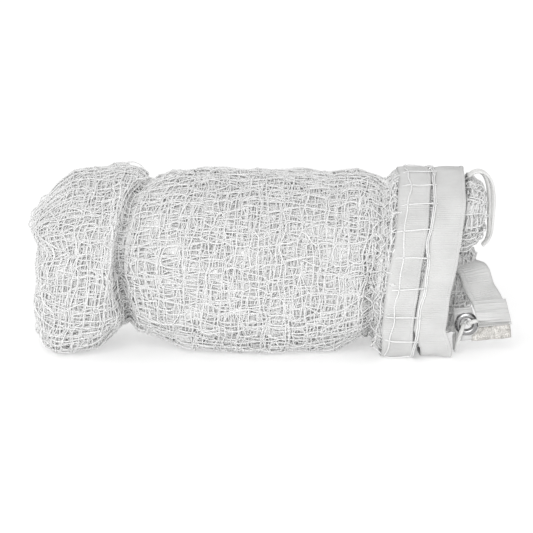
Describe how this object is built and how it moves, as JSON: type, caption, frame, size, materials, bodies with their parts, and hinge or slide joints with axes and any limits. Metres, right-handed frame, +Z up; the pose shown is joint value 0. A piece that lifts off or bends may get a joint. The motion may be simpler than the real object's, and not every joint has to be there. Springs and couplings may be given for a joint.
{
  "type": "tennis net",
  "caption": "White tennis net rolled and cinched into a storage bundle, with its headband wrapped round one end and a corner eyelet and tie cord on a loose tail.",
  "frame": {"origin": "on the floor under the middle of the bundle", "axes": "+X along the bundle towards the headband end, +Y to the back, +Z up"},
  "size_m": [0.7161, 0.282, 0.28],
  "materials": {
    "netting": "matte",
    "headband_tape": "matte",
    "cord": "matte",
    "tie_twine": "matte",
    "side_cord": "matte",
    "patch_tape": "matte",
    "eyelet_metal": "satin"
  },
  "bodies": {
    "bundle": {"netting_left_bunch": "netting", "netting_centre_bunch": "netting", "netting_right_bunch": "netting", "netting_end_tuft": "netting", "netting_end_fold": "netting", "left_bundle_tie": "tie_twine", "left_tie_knot": "tie_twine", "right_bundle_tie": "tie_twine", "right_tie_knot": "tie_twine", "headband_inner_wrap": "headband_tape", "head_cord_inner_wrap": "cord", "headband_outer_wrap": "headband_tape", "head_cord_outer_wrap": "cord", "headband_stacked_turns": "headband_tape", "headband_tail_root": "headband_tape", "side_cord_loop_1": "side_cord", "side_cord_loop_2": "side_cord", "side_cord_loop_3": "side_cord", "side_cord_loop_4": "side_cord"},
    "tail": {"headband_tail": "headband_tape", "head_cord_tail": "cord"},
    "end_hem": {"headband_end_hem": "headband_tape", "hem_edge_patch": "patch_tape", "corner_eyelet": "eyelet_metal", "corner_eyelet_washer": "eyelet_metal", "tie_cord": "cord", "tie_cord_knot": "cord"}
  },
  "joints": [
    {"name": "tail_lift", "type": "hinge", "parent": "bundle", "child": "tail", "pos_m": [0.306, -0.03, 0.126], "axis": [-1, 0, 0], "range_deg": [0, 30]},
    {"name": "hem_fold", "type": "hinge", "parent": "tail", "child": "end_hem", "pos_m": [0.333, -0.061, 0.057], "axis": [-1, 0, 0], "range_deg": [-10, 40]}
  ]
}
